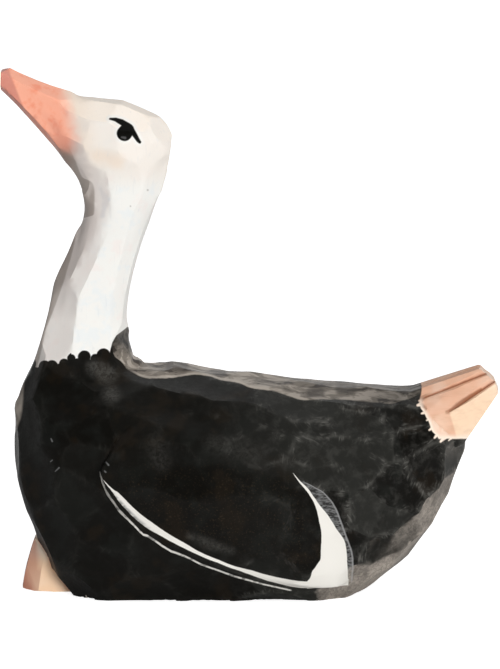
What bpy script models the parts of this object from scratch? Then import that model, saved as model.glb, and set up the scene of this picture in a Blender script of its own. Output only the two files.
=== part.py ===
"""Sitting ostrich, sawn, whittled and gouged from one small block of limewood, neck up and beak lifted.

The bird faces -X, its tail points to +X and its flat base rests on the XY plane. Lengths are in metres.
While it is being carved, x runs from the foremost point of the breast back to the tail.
"""

import math
from collections import namedtuple

import bmesh
import bpy
import numpy as np
from mathutils import Matrix, Vector
from mathutils.bvhtree import BVHTree

# Body
BODY_LENGTH = 0.0557
BODY_WIDTH = 0.0246
SHOULDER_HEIGHT = 0.0290
CROUP_HEIGHT = 0.0249
BREAST_HEIGHT = 0.0183
RUMP_HEIGHT = 0.0185
GIRTH_HEIGHT = 0.0120
KEEL_RISE_LENGTH = 0.0093
RUMP_RISE_LENGTH = 0.0194
BREAST_CURVE_LENGTH = 0.0180
RUMP_CURVE_LENGTH = 0.0270
BREAST_TOP_CURVE = 0.0060
CROUP_TOP_CURVE = 0.0080
PLAN_SQUARENESS = 2.1
CREST_SQUARENESS = 2.8
BREAST_KEEL_SQUARENESS = 1.5
RUMP_KEEL_SQUARENESS = 1.65
BACK_SQUARENESS = 2.2
BELLY_SQUARENESS = 3.0
SAW_ALLOWANCE = 0.0025

# Neck
NECK_X = 0.0087
NECK_LENGTH = 0.0223
NECK_SWEEP = 0.0048
NECK_ROOT_SINK = 0.0060
NECK_ROOT_SET_BACK = 0.0012
NECK_ROOT_DEPTH = 0.0122
NECK_WAIST_DEPTH = 0.0083
NECK_ROOT_WIDTH = 0.0120
NECK_WAIST_WIDTH = 0.0072
NECK_SQUARENESS = 2.2

# Head and beak
HEAD_REACH = 0.0081
HEAD_RISE = 0.0083
HEAD_DEPTH = 0.0126
HEAD_WIDTH = 0.0098
BEAK_LENGTH = 0.0082
BEAK_TILT = math.radians(33)
BEAK_ROOT_DEPTH = 0.0063
BEAK_ROOT_WIDTH = 0.0060
BEAK_TIP_DEPTH = 0.0018
BEAK_TIP_WIDTH = 0.0028
BEAK_END_LEAN = math.radians(2)
BEAK_END_SHAVE = math.radians(72)

# Wings, in low relief on both flanks
WING_X = 0.0113
WING_HEIGHT = 0.0176
WING_CHORD = 0.0338
WING_DROOP = math.radians(27.8)
WING_UPPER_BULGE = 0.0113
WING_LOWER_BULGE = 0.0055
WING_RELIEF = 0.0008
WING_EDGE = 0.0008
WING_SHOULDER_FADE = 0.0060
WING_HOLLOW_DEPTH = 0.0006

# Tail
TAIL_SINK = 0.0097
TAIL_DROP = 0.0010
TAIL_LENGTH = 0.0142
TAIL_RISE = 0.0039
TAIL_ROOT_WIDTH = 0.0108
TAIL_ROOT_DEPTH = 0.0053
TAIL_END_WIDTH = 0.0050
TAIL_END_DEPTH = 0.0028
TAIL_RIDGE_WIDTH = 0.0036
TAIL_ROOF_DEPTH = 0.0020
RIDGE_GROOVE_WIDTH = 0.00060
RIDGE_GROOVE_DEPTH = 0.00035
FEATHER_GROOVE_WIDTH = 0.00076
FEATHER_GROOVE_DEPTH = 0.00045
SHOULDER_GROOVE_WIDTH = 0.00100
SHOULDER_GROOVE_DEPTH = 0.00060

# Feet
FOOT_X = 0.0003
FOOT_WIDTH = 0.0086
FOOT_TOE_WIDTH = 0.0044
FOOT_CORNER = 0.0019
FOOT_SIDE_HEIGHT = 0.0045
FOOT_CREST_HEIGHT = 0.0062
FOOT_CREST_WIDTH = 0.0028
FOOT_LEAN = math.radians(18)

# Knife and gouge work: the blank's grain, the widths of the cuts, and how hollow, deep and uneven they are
BLANK_GRAIN = 0.00032
BLANK_SMOOTHING = 10
CARVED_TRIANGLES = 9400
BACK_CUT = 0.0052
RUMP_CUT = 0.0043
BREAST_CUT = 0.0070
FLANK_CUT = 0.0090
WING_CUT = 0.0080
KNIFE_CUT = 0.0035
GOUGE_RADIUS = 0.020
KNIFE_RADIUS = 0.030
CUT_DEPTH_SHARE = 0.030
GOUGE_DEPTH_SPREAD = 0.00012
KNIFE_DEPTH_SPREAD = 0.00003
TALLEST_RIDGE = 0.0004
GOUGE_TILT_SPREAD = math.radians(3.0)
KNIFE_TILT_SPREAD = math.radians(1.0)
KNIFE_TURN_SPREAD = math.radians(1.5)
CARVER_SEED = 16

# Paint: the black coat ends at a slanting line round the neck and the salmon one at the root of the beak
NECK_LINE_RISE = 0.0010
NECK_LINE_TILT = math.radians(21)
BLACK = (0.012, 0.011, 0.009, 1.0)
WHITE = (0.86, 0.83, 0.78, 1.0)
SALMON = (0.93, 0.42, 0.28, 1.0)
LIMEWOOD = (0.85, 0.58, 0.38, 1.0)

RING_SIDES = 48
BODY_RINGS = 40
RINGS_PER_SECTION = 5

# One ring of the neck and head: its centre in the side view, the lean of its chord, and its size
Section = namedtuple("Section", "x z lean depth width")

# One stroke of a tool: its place, the way it faces and runs, its length for its width, and its hollow
Cut = namedtuple("Cut", "point normal along stretch radius span depth")


def finish(name, colour, roughness):
    material = bpy.data.materials.new(name)
    material.use_nodes = True
    shader = material.node_tree.nodes["Principled BSDF"]
    shader.inputs["Base Color"].default_value = colour
    shader.inputs["Roughness"].default_value = roughness
    return material


def clear_scene():
    for item in list(bpy.data.objects):
        bpy.data.objects.remove(item, do_unlink=True)


def add_object(name, mesh):
    item = bpy.data.objects.new(name, mesh)
    bpy.context.scene.collection.objects.link(item)
    return item


def evaluated_mesh(item):
    """The object's mesh as its modifiers leave it."""
    graph = bpy.context.evaluated_depsgraph_get()
    graph.update()
    return bpy.data.meshes.new_from_object(item.evaluated_get(graph), depsgraph=graph)


def apply_modifiers(item):
    mesh = evaluated_mesh(item)
    item.modifiers.clear()
    item.data = mesh


def boolean(item, tool, operation):
    """Joins the tool to the item, or cuts it away, and throws the tool away."""
    cut = item.modifiers.new(operation.title(), "BOOLEAN")
    cut.solver = "EXACT"
    cut.material_mode = "TRANSFER"
    cut.operation = operation
    cut.object = tool
    apply_modifiers(item)
    bpy.data.objects.remove(tool, do_unlink=True)


def rounded(distance, length, squareness):
    """Share of its full size that a form has at a distance from its end, if it rounds off over a length."""
    left = 1.0 - min(max(distance / length, 0.0), 1.0)
    return (1.0 - left**squareness) ** (1.0 / squareness)


def ease(share):
    share = min(max(share, 0.0), 1.0)
    return share * share * (3.0 - 2.0 * share)


def ring(centre, chord, above, below, width, square_above, square_below):
    """Points of a squarish oval, which reaches above and below its centre along the chord."""
    points = []
    for step in range(RING_SIDES):
        angle = 2.0 * math.pi * step / RING_SIDES
        across, along = math.cos(angle), math.sin(angle)
        squareness, reach = (square_above, above) if along > 0.0 else (square_below, below)
        side = math.copysign(abs(across) ** (2.0 / squareness), across) * width / 2.0
        reach *= math.copysign(abs(along) ** (2.0 / squareness), along)
        points.append(centre + chord * reach + Vector((0.0, side, 0.0)))
    return points


def loft(form, rings):
    """Skins a row of rings and closes both ends."""
    loops = [[form.verts.new(point) for point in points] for points in rings]
    for lower, upper in zip(loops, loops[1:]):
        for step in range(RING_SIDES):
            after = (step + 1) % RING_SIDES
            form.faces.new((lower[step], lower[after], upper[after], upper[step]))
    form.faces.new(list(reversed(loops[0])))
    form.faces.new(loops[-1])


def body_rings():
    """Upright slices of the body, close together where the breast and the rump round off."""
    rings = []
    for step in range(BODY_RINGS):
        x = BODY_LENGTH * (1.0 - math.cos(math.pi * (step + 0.5) / BODY_RINGS)) / 2.0
        behind = BODY_LENGTH - x
        if x < BODY_LENGTH / 2.0:
            nose = BREAST_HEIGHT
            keel = rounded(x, KEEL_RISE_LENGTH, BREAST_KEEL_SQUARENESS)
            crest = rounded(x, BREAST_TOP_CURVE, CREST_SQUARENESS)
        else:
            nose = RUMP_HEIGHT
            keel = rounded(behind, RUMP_RISE_LENGTH, RUMP_KEEL_SQUARENESS)
            crest = rounded(behind, CROUP_TOP_CURVE, CREST_SQUARENESS)
        back = SHOULDER_HEIGHT + (CROUP_HEIGHT - SHOULDER_HEIGHT) * ease(x / BODY_LENGTH)
        low = nose * (1.0 - keel) - SAW_ALLOWANCE * keel
        middle = nose + (GIRTH_HEIGHT - nose) * keel
        high = nose + (back - nose) * crest
        width = BODY_WIDTH * rounded(x, BREAST_CURVE_LENGTH, PLAN_SQUARENESS)
        width *= rounded(behind, RUMP_CURVE_LENGTH, PLAN_SQUARENESS)
        centre, chord = Vector((x, 0.0, middle)), Vector((0.0, 0.0, 1.0))
        reach = high - middle, middle - low
        rings.append(ring(centre, chord, *reach, width, BACK_SQUARENESS, BELLY_SQUARENESS))
    return rings


def throat():
    """Middle of the neck where the head begins."""
    return Vector((NECK_X + NECK_SWEEP, 0.0, SHOULDER_HEIGHT + NECK_LENGTH))


def along_beak(share):
    """Place on the middle line of the beak, from its root at 0 to its tip at 1."""
    root = throat() + Vector((-HEAD_REACH, 0.0, HEAD_RISE))
    return root + Vector((-math.cos(BEAK_TILT), 0.0, math.sin(BEAK_TILT))) * BEAK_LENGTH * share


def neck_and_head_sections():
    """Sections from inside the shoulders, up the neck, round the head and out to the tip of the beak."""

    def on_neck(share, depth, width, lean=0.0):
        x = NECK_X + NECK_SWEEP * ease((share - 0.15) / 0.85)
        z = SHOULDER_HEIGHT + NECK_LENGTH * share
        return Section(x, z, math.radians(lean), depth, width)

    def on_head(reach, rise, lean, depth, width):
        place = throat() + Vector((-HEAD_REACH * reach, 0.0, HEAD_RISE * rise))
        return Section(place.x, place.z, math.radians(lean), HEAD_DEPTH * depth, HEAD_WIDTH * width)

    def on_beak(share, lean, depth, width):
        place = along_beak(share)
        return Section(place.x, place.z, math.radians(lean), depth, width)

    beak_depth = (BEAK_ROOT_DEPTH + BEAK_TIP_DEPTH) / 2.0
    beak_width = (BEAK_ROOT_WIDTH + BEAK_TIP_WIDTH) / 2.0
    root_depth = NECK_ROOT_DEPTH * 1.15
    root_x = NECK_X + NECK_ROOT_SET_BACK
    root = Section(root_x, SHOULDER_HEIGHT - NECK_ROOT_SINK, 0.0, root_depth, NECK_ROOT_WIDTH)
    return (
        root,
        on_neck(0.00, NECK_ROOT_DEPTH, NECK_ROOT_WIDTH * 0.92, 1.0),
        on_neck(0.22, (NECK_ROOT_DEPTH + 2.0 * NECK_WAIST_DEPTH) / 3.0, NECK_WAIST_WIDTH * 1.20),
        on_neck(0.43, NECK_WAIST_DEPTH * 1.09, NECK_WAIST_WIDTH * 1.06),
        on_neck(0.63, NECK_WAIST_DEPTH, NECK_WAIST_WIDTH, 1.5),
        on_neck(0.83, NECK_WAIST_DEPTH * 1.05, NECK_WAIST_WIDTH * 1.05, 3.0),
        on_head(0.00, 0.00, 12.0, 0.85, 0.84),
        on_head(-0.01, 0.29, 19.7, 0.985, 0.97),
        on_head(0.13, 0.54, 25.5, 1.00, 1.00),
        on_head(0.43, 0.75, 33.7, 0.845, 0.93),
        on_head(0.73, 0.88, 40.0, 0.65, 0.77),
        on_beak(0.00, 43.5, BEAK_ROOT_DEPTH, BEAK_ROOT_WIDTH),
        on_beak(0.50, 48.0, beak_depth, beak_width),
        on_beak(1.10, 56.0, BEAK_TIP_DEPTH, BEAK_TIP_WIDTH),
    )


def section_at(sections, place):
    """Smooth blend of the sections at a place along their row, which counts sections from 0."""
    last = len(sections) - 1
    first = min(int(place), last - 1)
    share = place - first
    before, here, there, after = (
        np.array(sections[min(max(first + step, 0), last)]) for step in (-1, 0, 1, 2)
    )
    blend = (
        2.0 * here
        + (there - before) * share
        + (2.0 * before - 5.0 * here + 4.0 * there - after) * share**2
        + (3.0 * here - before - 3.0 * there + after) * share**3
    )
    return Section(*(float(value) / 2.0 for value in blend))


def chord_of(section):
    """Direction across the ring from the throat side to the nape side."""
    return Vector((math.cos(section.lean), 0.0, math.sin(section.lean)))


def neck_and_head_rings():
    sections = neck_and_head_sections()
    rings = []
    for step in range((len(sections) - 1) * RINGS_PER_SECTION + 1):
        section = section_at(sections, step / RINGS_PER_SECTION)
        centre = Vector((section.x, 0.0, section.z))
        half = section.depth / 2.0
        squareness = NECK_SQUARENESS, NECK_SQUARENESS
        rings.append(ring(centre, chord_of(section), half, half, section.width, *squareness))
    return rings


def blank():
    """The roughed-out bird: body, neck and head fused into one skin of even, fine quads."""
    form = bmesh.new()
    loft(form, body_rings())
    loft(form, neck_and_head_rings())
    bmesh.ops.recalc_face_normals(form, faces=form.faces)
    mesh = bpy.data.meshes.new("blank")
    form.to_mesh(mesh)
    form.free()
    item = add_object("blank", mesh)
    fuse = item.modifiers.new("Fuse", "REMESH")
    fuse.mode = "VOXEL"
    fuse.voxel_size = BLANK_GRAIN
    soften = item.modifiers.new("Soften", "SMOOTH")
    soften.factor = 0.5
    soften.iterations = BLANK_SMOOTHING
    apply_modifiers(item)
    return item


def skin_of(mesh):
    """Tree of the mesh's faces, to find places on its skin."""
    form = bmesh.new()
    form.from_mesh(mesh)
    tree = BVHTree.FromBMesh(form)
    form.free()
    return tree


def vertex_arrays(mesh):
    points = np.empty(len(mesh.vertices) * 3, np.float32)
    normals = np.empty(len(mesh.vertices) * 3, np.float32)
    mesh.vertices.foreach_get("co", points)
    mesh.vertices.foreach_get("normal", normals)
    return points.reshape(-1, 3).astype(float), normals.reshape(-1, 3).astype(float)


def lens(share, blunt, sharp):
    """Curve that rises from 0 to 1 and falls to 0 again, steeper where its power is small."""
    peak = blunt / (blunt + sharp)
    top = peak**blunt * (1.0 - peak) ** sharp
    return share**blunt * (1.0 - share) ** sharp / top


def smooth_step(values):
    values = np.clip(values, 0.0, 1.0)
    return values * values * (3.0 - 2.0 * values)


def wing_relief(points, normals):
    """How far each point belongs to a wing, 0 to 1: crisp at the lower edge, fading out above."""
    x, z = points[:, 0] - WING_X, points[:, 2] - WING_HEIGHT
    along = (x * math.cos(WING_DROOP) - z * math.sin(WING_DROOP)) / WING_CHORD
    above = x * math.sin(WING_DROOP) + z * math.cos(WING_DROOP)
    share = np.clip(along, 0.0, 1.0)
    under = WING_UPPER_BULGE * lens(share, 0.30, 0.50) - above
    over = above + WING_LOWER_BULGE * lens(share, 0.50, 0.90)
    flank = smooth_step((np.abs(normals[:, 1]) - 0.25) / 0.25)
    return smooth_step(over / WING_EDGE) * smooth_step(under / WING_SHOULDER_FADE) * flank


def lengthwise_bend(height, u, v):
    """Curvature of the skin along a cut, negative where the skin is hollow."""
    terms = np.stack((np.ones_like(u), u, v, u * u / 2.0, v * v / 2.0), axis=1)
    return np.linalg.lstsq(terms, height, rcond=None)[0][3]


def cut_heights(points, normals, cuts, allowed):
    """How far each allowed point moves along its normal, down to the lowest cut that reaches it."""
    heights = np.full(len(points), np.inf)
    for cut in cuts:
        across = np.cross(cut.normal, cut.along)
        offset = points - cut.point
        facing = normals @ cut.normal
        u, v, w = offset @ cut.along, offset @ across, offset @ cut.normal
        distance = np.sqrt((u / cut.stretch) ** 2 + v**2 + w**2) / cut.span
        reached = np.nonzero((distance < 2.0) & (facing > 0.35) & allowed)[0]
        u, v, w, facing, distance = (values[reached] for values in (u, v, w, facing, distance))
        above = -w / facing
        close = distance < 0.9
        if np.count_nonzero(close) > 20:
            above -= min(lengthwise_bend(above[close], u[close], v[close]), 0.0) * u**2 / 2.0
        hollow = ((u / cut.stretch) ** 2 + v**2) / (2.0 * cut.radius)
        fade = cut.span * np.maximum(distance - 0.75, 0.0) ** 2
        cut_to = np.maximum(above, 0.0) + hollow + fade - cut.depth
        heights[reached] = np.minimum(heights[reached], cut_to)
    return np.minimum(heights, TALLEST_RIDGE)


def cut_depth(span, spread, rng):
    return span * CUT_DEPTH_SHARE + abs(rng.normal(0.0, spread))


def tilted(normal, along, spread, rng):
    """The cut's own directions, a little off square because the tool is held by hand."""
    normal = normal + rng.normal(0.0, math.tan(spread), 3)
    normal /= np.linalg.norm(normal)
    along = along - normal * (along @ normal)
    return normal, along / np.linalg.norm(along)


def long_cuts(tree, rng):
    """Rows of long knife cuts round the neck, the head and the beak.

    Each row has its place along the sections, the width of a cut, its length for its width, and the
    directions of its cuts in degrees, round from the throat over the far side to the near one.
    """
    rows = (
        (1.40, 1.15, 2.2, (0, 52, 106, 155, 205, 254, 308)),
        (3.70, 1.00, 2.6, (25, 58, 96, 146, 186, 214, 264, 301, 335)),
        (5.60, 0.95, 1.3, (0, 49, 78, 125, 170, 215, 260, 306)),
        (6.70, 1.00, 1.1, (0, 45, 90, 135, 180, 225, 270, 315)),
        (7.70, 1.00, 1.0, (22, 67, 112, 157, 202, 247, 292, 337)),
        (8.80, 1.00, 1.0, (0, 45, 90, 135, 180, 225, 270, 315)),
        (10.00, 0.90, 1.1, (20, 82, 131, 180, 229, 278, 340)),
        (11.80, 0.75, 2.2, (20, 85, 148, 212, 275, 340)),
    )
    sections = neck_and_head_sections()
    cuts = []
    for place, width, stretch, directions in rows:
        span = KNIFE_CUT * width
        section = section_at(sections, place)
        ahead = section_at(sections, min(place + 0.2, len(sections) - 1.0))
        centre = Vector((section.x, 0.0, section.z))
        along = np.array((ahead.x - section.x, 0.0, ahead.z - section.z))
        for direction in directions:
            angle = math.radians(direction) + rng.normal(0.0, KNIFE_TURN_SPREAD)
            outward = chord_of(section) * -math.cos(angle) + Vector((0.0, math.sin(angle), 0.0))
            found, normal, _, _ = tree.ray_cast(centre, outward)
            square, line = tilted(np.array(normal), along / np.linalg.norm(along), KNIFE_TILT_SPREAD, rng)
            depth = cut_depth(span, KNIFE_DEPTH_SPREAD, rng)
            cuts.append(Cut(np.array(found), square, line, stretch, KNIFE_RADIUS, span, depth))
    return cuts


def gouge_span(point, in_wing):
    """How wide the gouge cuts are at a point of the body."""
    if in_wing:
        return WING_CUT
    if point[0] < NECK_X and point[2] < SHOULDER_HEIGHT * 0.97:
        return BREAST_CUT
    if point[2] < WING_HEIGHT * 0.5 and point[0] < BODY_LENGTH * 0.7:
        return FLANK_CUT
    if point[0] > BODY_LENGTH * 0.6:
        return RUMP_CUT
    return BACK_CUT


def gouge_cuts(points, normals, in_wing, taken, rng):
    """Short gouge cuts scattered over the body, none closer to another than it is wide."""
    order = rng.permutation(len(points))
    centres = [cut.point for cut in taken]
    wing, ground = [], []
    neck_top = SHOULDER_HEIGHT + NECK_LENGTH * 0.12
    for index in order[: len(order) // 6]:
        point, normal = points[index], normals[index]
        if point[2] > neck_top or point[2] < -SAW_ALLOWANCE / 2.0:
            continue
        span = gouge_span(point, in_wing[index])
        if np.min(np.linalg.norm(np.array(centres) - point, axis=1)) < span * 0.72:
            continue
        square, line = tilted(normal, np.array((1.0, 0.0, -0.25)), GOUGE_TILT_SPREAD, rng)
        depth = cut_depth(span, GOUGE_DEPTH_SPREAD, rng)
        side = wing if in_wing[index] else ground
        side.append(Cut(point, square, line, 1.25, GOUGE_RADIUS, span, depth))
        centres.append(point)
    return wing, ground


def wing_hollows(tree):
    """Two scooped feather hollows at the shoulder of each wing and a long one along its lower edge."""
    hollows = (
        (0.24, 0.112, math.radians(45), 0.080, 1.7, 1.0),
        (0.47, 0.243, math.radians(42), 0.080, 1.7, 1.0),
        (0.54, -0.065, WING_DROOP, 0.059, 2.6, 0.6),
    )
    cuts = []
    for share, rise_share, slope, half_share, stretch, depth in hollows:
        rise, half = WING_CHORD * rise_share, WING_CHORD * half_share
        x = WING_X + WING_CHORD * share * math.cos(WING_DROOP) + rise * math.sin(WING_DROOP)
        z = WING_HEIGHT - WING_CHORD * share * math.sin(WING_DROOP) + rise * math.cos(WING_DROOP)
        for side in (-1.0, 1.0):
            found, normal, _, _ = tree.find_nearest((x, side * BODY_WIDTH / 2.0, z))
            square = np.array(normal)
            line = np.array((math.cos(slope), 0.0, -math.sin(slope)))
            line -= square * (line @ square)
            depth_here = WING_HOLLOW_DEPTH * depth
            radius = half**2 / (2.0 * depth_here)
            line /= np.linalg.norm(line)
            cuts.append(Cut(np.array(found), square, line, stretch, radius, half * 1.4, depth_here))
    return cuts


def carve(item):
    """Works the whole skin of the blank over with knife and gouge, and leaves the wings standing proud."""
    rng = np.random.default_rng(CARVER_SEED)
    mesh = item.data
    points, normals = vertex_arrays(mesh)
    tree = skin_of(mesh)
    relief = wing_relief(points, normals)
    knife = long_cuts(tree, rng)
    wing, ground = gouge_cuts(points, normals, relief > 0.5, knife, rng)
    heights = cut_heights(points, normals, knife + ground, relief < 0.999)
    wing_heights = cut_heights(points, normals, wing + wing_hollows(tree), relief > 0.001)
    heights += (wing_heights + WING_RELIEF - heights) * relief
    moved = points + normals * heights[:, None]
    mesh.vertices.foreach_set("co", moved.astype(np.float32).ravel())
    mesh.update()


def hull(name, corners, material):
    """A block whittled flat between its corners, which are given for one side and mirrored to the other."""
    form = bmesh.new()
    for x, y, z in corners:
        form.verts.new((x, y, z))
        form.verts.new((x, -y, z))
    found = bmesh.ops.convex_hull(form, input=form.verts)
    spare = [item for item in found["geom_interior"] if isinstance(item, bmesh.types.BMVert)]
    bmesh.ops.delete(form, geom=spare, context="VERTS")
    bmesh.ops.recalc_face_normals(form, faces=form.faces)
    mesh = bpy.data.meshes.new(name)
    mesh.materials.append(material)
    form.to_mesh(mesh)
    form.free()
    return add_object(name, mesh)


def tail_corners():
    """Ridge, shoulder and underside corners of the tail, from the root to its slanted end."""
    root_x = BODY_LENGTH - TAIL_SINK
    tip_x = root_x + TAIL_LENGTH
    top = CROUP_HEIGHT - TAIL_DROP
    tip = top + TAIL_RISE
    ridge, root, end = TAIL_RIDGE_WIDTH / 2.0, TAIL_ROOT_WIDTH / 2.0, TAIL_END_WIDTH / 2.0
    return {
        "root_ridge": (root_x, ridge * 1.25, top),
        "end_ridge": (tip_x - 0.17 * TAIL_LENGTH, ridge * 0.9, tip),
        "end_shoulder": (tip_x - 0.04 * TAIL_LENGTH, end, tip - TAIL_ROOF_DEPTH * 0.8),
        "end_under": (tip_x, end * 0.85, tip - TAIL_END_DEPTH),
        "root_shoulder": (root_x + 0.22 * TAIL_LENGTH, root, top - TAIL_ROOF_DEPTH * 1.2),
        "side": (root_x + 0.58 * TAIL_LENGTH, root * 0.85, top - TAIL_ROOF_DEPTH * 0.8),
        "under": (tip_x - 0.31 * TAIL_LENGTH, end * 1.35, top - TAIL_ROOT_DEPTH),
        "root_under": (root_x, root * 0.9, top - TAIL_ROOT_DEPTH * 1.7),
    }


def foot_corners():
    """Corners of the block under the breast, from the toes back to where the keel is level."""
    half, toe, crest = FOOT_WIDTH / 2.0, FOOT_TOE_WIDTH / 2.0, FOOT_CREST_WIDTH / 2.0
    back = FOOT_X + KEEL_RISE_LENGTH
    lean = math.tan(FOOT_LEAN)
    low_top = FOOT_CREST_HEIGHT * 0.48
    return {
        "toe": (FOOT_X, toe, -SAW_ALLOWANCE),
        "toe_top": (FOOT_X + low_top * lean, toe * 0.95, low_top),
        "corner": (FOOT_X + FOOT_CORNER, half, -SAW_ALLOWANCE),
        "side": (FOOT_X + FOOT_CORNER + FOOT_SIDE_HEIGHT * lean, half * 0.84, FOOT_SIDE_HEIGHT),
        "crest": (FOOT_X + FOOT_CREST_HEIGHT * lean, crest, FOOT_CREST_HEIGHT),
        "back": (back, half, -SAW_ALLOWANCE),
        "back_side": (back, half * 0.84, FOOT_SIDE_HEIGHT),
        "back_crest": (back, crest, FOOT_CREST_HEIGHT * 1.3),
    }


def groove(stations, up, material):
    """A V tool led along a line in a face that looks up: stations of place, half width and depth."""
    line = (stations[-1][0] - stations[0][0]).normalized()
    side = line.cross(up).normalized()
    up = side.cross(line)
    form = bmesh.new()
    rings = []
    for point, half, depth in stations:
        corners = (-up * depth, up * depth + side * 2.0 * half, up * depth - side * 2.0 * half)
        rings.append([form.verts.new(point + corner) for corner in corners])
    for ring_here, ring_ahead in zip(rings, rings[1:]):
        for first, second in ((0, 1), (1, 2), (2, 0)):
            form.faces.new((ring_here[second], ring_here[first], ring_ahead[first], ring_ahead[second]))
    form.faces.new(rings[0])
    form.faces.new(rings[-1][::-1])
    bmesh.ops.recalc_face_normals(form, faces=form.faces)
    mesh = bpy.data.meshes.new("groove")
    mesh.materials.append(material)
    form.to_mesh(mesh)
    form.free()
    return add_object("groove", mesh)


def saw(item, point, normal):
    """Cuts away everything on the side the normal points to and closes the cut."""
    form = bmesh.new()
    form.from_mesh(item.data)
    everything = form.verts[:] + form.edges[:] + form.faces[:]
    found = bmesh.ops.bisect_plane(
        form,
        geom=everything,
        dist=1e-6,
        plane_co=point,
        plane_no=normal,
        clear_outer=True,
    )
    rim = [edge for edge in found["geom_cut"] if isinstance(edge, bmesh.types.BMEdge)]
    bmesh.ops.contextual_create(form, geom=rim)
    bmesh.ops.recalc_face_normals(form, faces=form.faces)
    form.to_mesh(item.data)
    form.free()


def thin_out(item, triangles):
    """Keeps the ridges between the cuts and drops the points that lie flat between them."""
    item.data.calc_loop_triangles()
    thin = item.modifiers.new("Thin", "DECIMATE")
    thin.ratio = triangles / len(item.data.loop_triangles)
    thin.use_collapse_triangulate = True
    apply_modifiers(item)


def cut_groove(bird, start, end, up, width, depth, wood):
    """Cuts a groove along the skin that starts faint and leaves through the end of the tail."""
    half = width / 2.0
    tree = skin_of(bird.data)
    reach = up * TAIL_ROOT_WIDTH
    stations = []
    for share in (0.0, 0.25, 0.5, 0.75, 0.97):
        place = start.lerp(end, share)
        found = tree.ray_cast(place + reach, -up)[0] or place
        strength = min(1.0, 0.15 + 2.0 * share)
        stations.append((found, half * strength, depth * strength))
    last, before = stations[-1][0], stations[-2][0]
    stations.append((last + (last - before).normalized() * TAIL_END_DEPTH, half, depth))
    boolean(bird, groove(stations, up, wood), "DIFFERENCE")


def add_tail(bird, wood):
    """Joins the tail on and cuts its feathers: one groove along the ridge and two down each side."""
    corners = {name: Vector(place) for name, place in tail_corners().items()}
    boolean(bird, hull("tail", corners.values(), wood), "UNION")
    ridge_start = corners["root_ridge"].lerp(corners["end_ridge"], 0.12) * Vector((1.0, 0.0, 1.0))
    ridge_end = corners["end_ridge"] * Vector((1.0, 0.0, 1.0))
    upright = Vector((0.0, 0.0, 1.0))
    cut_groove(bird, ridge_start, ridge_end, upright, RIDGE_GROOVE_WIDTH, RIDGE_GROOVE_DEPTH, wood)
    for side in (-1.0, 1.0):
        mirror = Vector((1.0, side, 1.0))
        root_ridge, end_ridge, end_shoulder, flank = (
            corners[name] * mirror for name in ("root_ridge", "end_ridge", "end_shoulder", "side")
        )
        up = ((end_ridge - flank).cross(end_shoulder - flank) * side).normalized()
        root = root_ridge.lerp(end_ridge, 0.25)
        feather = root.lerp(flank, 0.30), end_ridge.lerp(end_shoulder, 0.33)
        shoulder = flank.lerp(root, 0.12), end_shoulder.lerp(end_ridge, 0.12)
        cut_groove(bird, *feather, up, FEATHER_GROOVE_WIDTH, FEATHER_GROOVE_DEPTH, wood)
        cut_groove(bird, *shoulder, up, SHOULDER_GROOVE_WIDTH, SHOULDER_GROOVE_DEPTH, wood)


def add_feet(bird, wood):
    boolean(bird, hull("feet", foot_corners().values(), wood), "UNION")


def trim_beak(bird):
    """Cuts the beak off blunt and shaves its upper corner."""
    tip = along_beak(1.0)
    corner = tip + Vector((0.0, 0.0, BEAK_TIP_DEPTH * 0.36))
    saw(bird, tip, (-math.cos(BEAK_END_LEAN), 0.0, math.sin(BEAK_END_LEAN)))
    saw(bird, corner, (-math.cos(BEAK_END_SHAVE), 0.0, math.sin(BEAK_END_SHAVE)))


def paint_beyond(item, point, normal, slot):
    """Gives the paint in a slot to all that lies beyond a plane, and cuts the faces along it."""
    form = bmesh.new()
    form.from_mesh(item.data)
    everything = form.verts[:] + form.edges[:] + form.faces[:]
    bmesh.ops.bisect_plane(form, geom=everything, dist=1e-6, plane_co=point, plane_no=normal)
    for face in form.faces:
        if (face.calc_center_median() - point).dot(normal) > 0.0:
            face.material_index = slot
    form.to_mesh(item.data)
    form.free()


def paint(bird):
    """White above a slanting line round the neck, salmon on the beak; the black coat is already on."""
    neck_line = Vector((NECK_X, 0.0, SHOULDER_HEIGHT + NECK_LINE_RISE))
    neck_up = Vector((-math.sin(NECK_LINE_TILT), 0.0, math.cos(NECK_LINE_TILT)))
    paint_beyond(bird, neck_line, neck_up, 1)
    paint_beyond(bird, along_beak(0.0), along_beak(1.0) - along_beak(0.0), 2)


def set_on_origin(item):
    """Moves the mesh so that the origin lies under the middle of its bounding box."""
    corners = [Vector(corner) for corner in item.bound_box]
    middle = (corners[0] + corners[6]) / 2.0
    item.data.transform(Matrix.Translation((-middle.x, -middle.y, -corners[0].z)))


def build_ostrich():
    clear_scene()
    bird = blank()
    bird.name = "ostrich"
    for name, colour, roughness in (
        ("black_paint", BLACK, 0.55),
        ("white_paint", WHITE, 0.6),
        ("salmon_paint", SALMON, 0.6),
    ):
        bird.data.materials.append(finish(name, colour, roughness))
    wood = finish("bare_limewood", LIMEWOOD, 0.7)
    carve(bird)
    thin_out(bird, CARVED_TRIANGLES)
    trim_beak(bird)
    paint(bird)
    add_feet(bird, wood)
    add_tail(bird, wood)
    saw(bird, (0.0, 0.0, 0.0), (0.0, 0.0, -1.0))
    set_on_origin(bird)


build_ostrich()
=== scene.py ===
"""Looks of the sitting ostrich: hand paint and bare limewood over the carved block, in soft studio light.

Paint marks are laid out in millimetres on a side view of the bird: u runs from beak to tail and v up, on a
plane that leans back by SIDE_TILT, and both flanks carry the same marks. The object itself is in metres.
"""

import math

import bmesh
import bpy
import numpy as np
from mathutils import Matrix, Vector
from mathutils.kdtree import KDTree


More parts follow.
